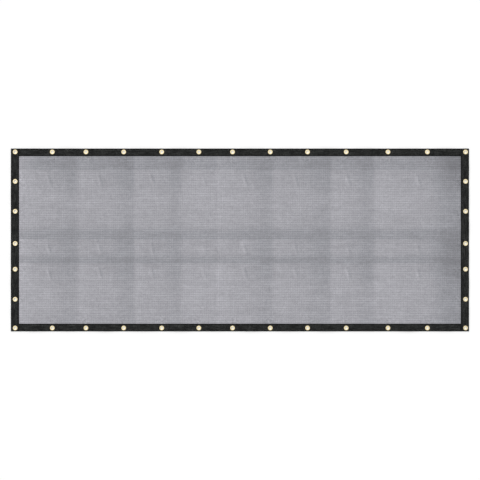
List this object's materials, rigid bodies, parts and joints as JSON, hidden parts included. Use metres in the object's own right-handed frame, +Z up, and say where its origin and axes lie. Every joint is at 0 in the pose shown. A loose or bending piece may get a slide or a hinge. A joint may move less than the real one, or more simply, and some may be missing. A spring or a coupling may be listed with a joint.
{
  "type": "fence windscreen",
  "caption": "Long knitted mesh windscreen for a fence, bound on all four edges with folded tape and set with brass grommets, laid out flat.",
  "frame": {"origin": "on the ground under the middle of the windscreen as it lies, front face up", "axes": "+X along the long side, +Y towards the top edge, +Z up, out of the front face"},
  "size_m": [3.048, 1.216, 0.008],
  "materials": {
    "mesh": "knitted polyethylene mesh, grey, matt with a faint sheen",
    "binding": "ribbed woven tape, black, matt",
    "grommet": "polished"
  },
  "bodies": {
    "root": {"mesh_panel": "mesh", "binding_left": "binding", "binding_right": "binding", "binding_top": "binding", "binding_bottom": "binding", "grommet_top_01": "grommet", "grommet_top_02": "grommet", "grommet_top_03": "grommet", "grommet_top_04": "grommet", "grommet_top_05": "grommet", "grommet_top_06": "grommet", "grommet_top_07": "grommet", "grommet_top_08": "grommet", "grommet_top_09": "grommet", "grommet_top_10": "grommet", "grommet_top_11": "grommet", "grommet_top_12": "grommet", "grommet_top_13": "grommet", "grommet_bottom_01": "grommet", "grommet_bottom_02": "grommet", "grommet_bottom_03": "grommet", "grommet_bottom_04": "grommet", "grommet_bottom_05": "grommet", "grommet_bottom_06": "grommet", "grommet_bottom_07": "grommet", "grommet_bottom_08": "grommet", "grommet_bottom_09": "grommet", "grommet_bottom_10": "grommet", "grommet_bottom_11": "grommet", "grommet_bottom_12": "grommet", "grommet_bottom_13": "grommet", "grommet_left_01": "grommet", "grommet_left_02": "grommet", "grommet_left_03": "grommet", "grommet_left_04": "grommet", "grommet_left_05": "grommet", "grommet_right_01": "grommet", "grommet_right_02": "grommet", "grommet_right_03": "grommet", "grommet_right_04": "grommet", "grommet_right_05": "grommet"}
  },
  "joints": []
}
